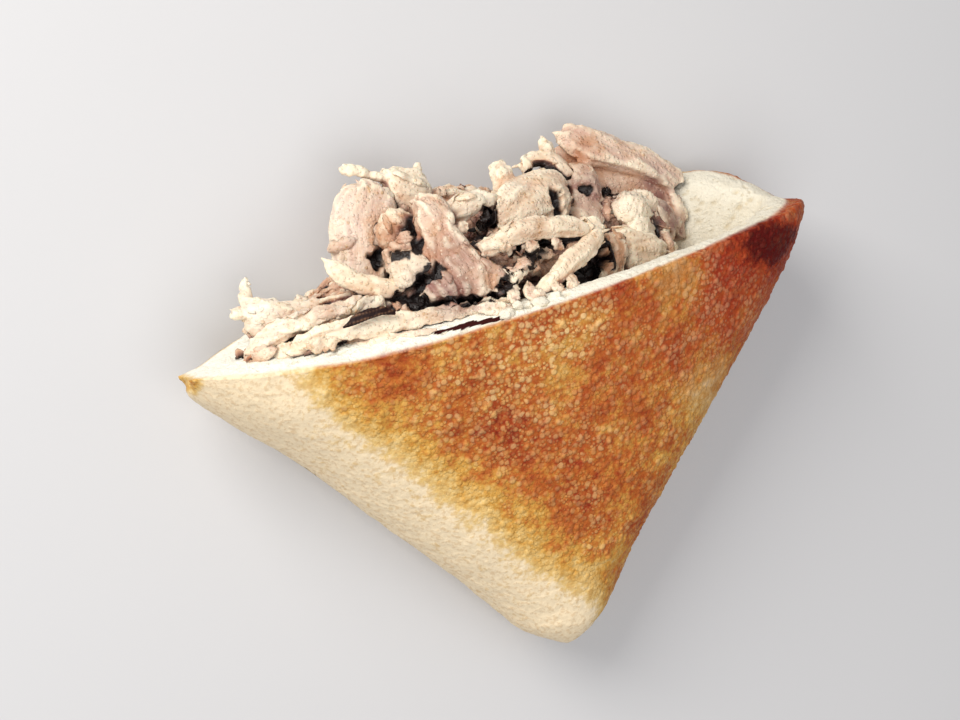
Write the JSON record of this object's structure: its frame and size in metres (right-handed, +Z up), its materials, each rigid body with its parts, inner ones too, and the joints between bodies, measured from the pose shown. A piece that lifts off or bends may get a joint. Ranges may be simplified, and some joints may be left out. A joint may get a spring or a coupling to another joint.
{
  "type": "stuffed bread pocket",
  "caption": "Corner of browned bread opened along its long edge as a pocket and stuffed with torn roast chicken, lying on its paler face.",
  "frame": {"origin": "on the flat underside, 26 mm behind the middle of the mouth towards the tip, below the point where the food balances", "axes": "+X along the mouth from left to right, +Y out of the mouth, +Z up, out of the browned face"},
  "size_m": [0.1536, 0.1231, 0.0495],
  "materials": {
    "crust": "matte baked bread, browned above and pale below",
    "meat_pink": "moist cooked chicken, fibrous",
    "meat_pale": "moist cooked chicken, pale",
    "meat_brown": "browned roast chicken",
    "dark_herb": "dark dried herb or roast skin, slightly glossy"
  },
  "bodies": {
    "root": {"bread": "crust", "filling": "meat_pink", "chunk_middle": "meat_pink", "strand_pale": "meat_pale", "finger_upper": "meat_pale", "finger_curved": "meat_pale", "herb_strip": "dark_herb", "strip_long": "meat_pale", "strip_front": "meat_pink", "slab_left": "meat_pink", "slab_upright": "meat_pale", "chunk_top": "meat_pale", "branch_cream": "meat_pale", "lump_brown": "meat_brown", "strip_back": "meat_brown", "chunk_upper": "meat_pale", "flake_upper": "meat_pale", "strip_tan": "meat_brown", "piece_beige": "meat_pale", "chunk_back": "meat_pink"}
  },
  "joints": []
}
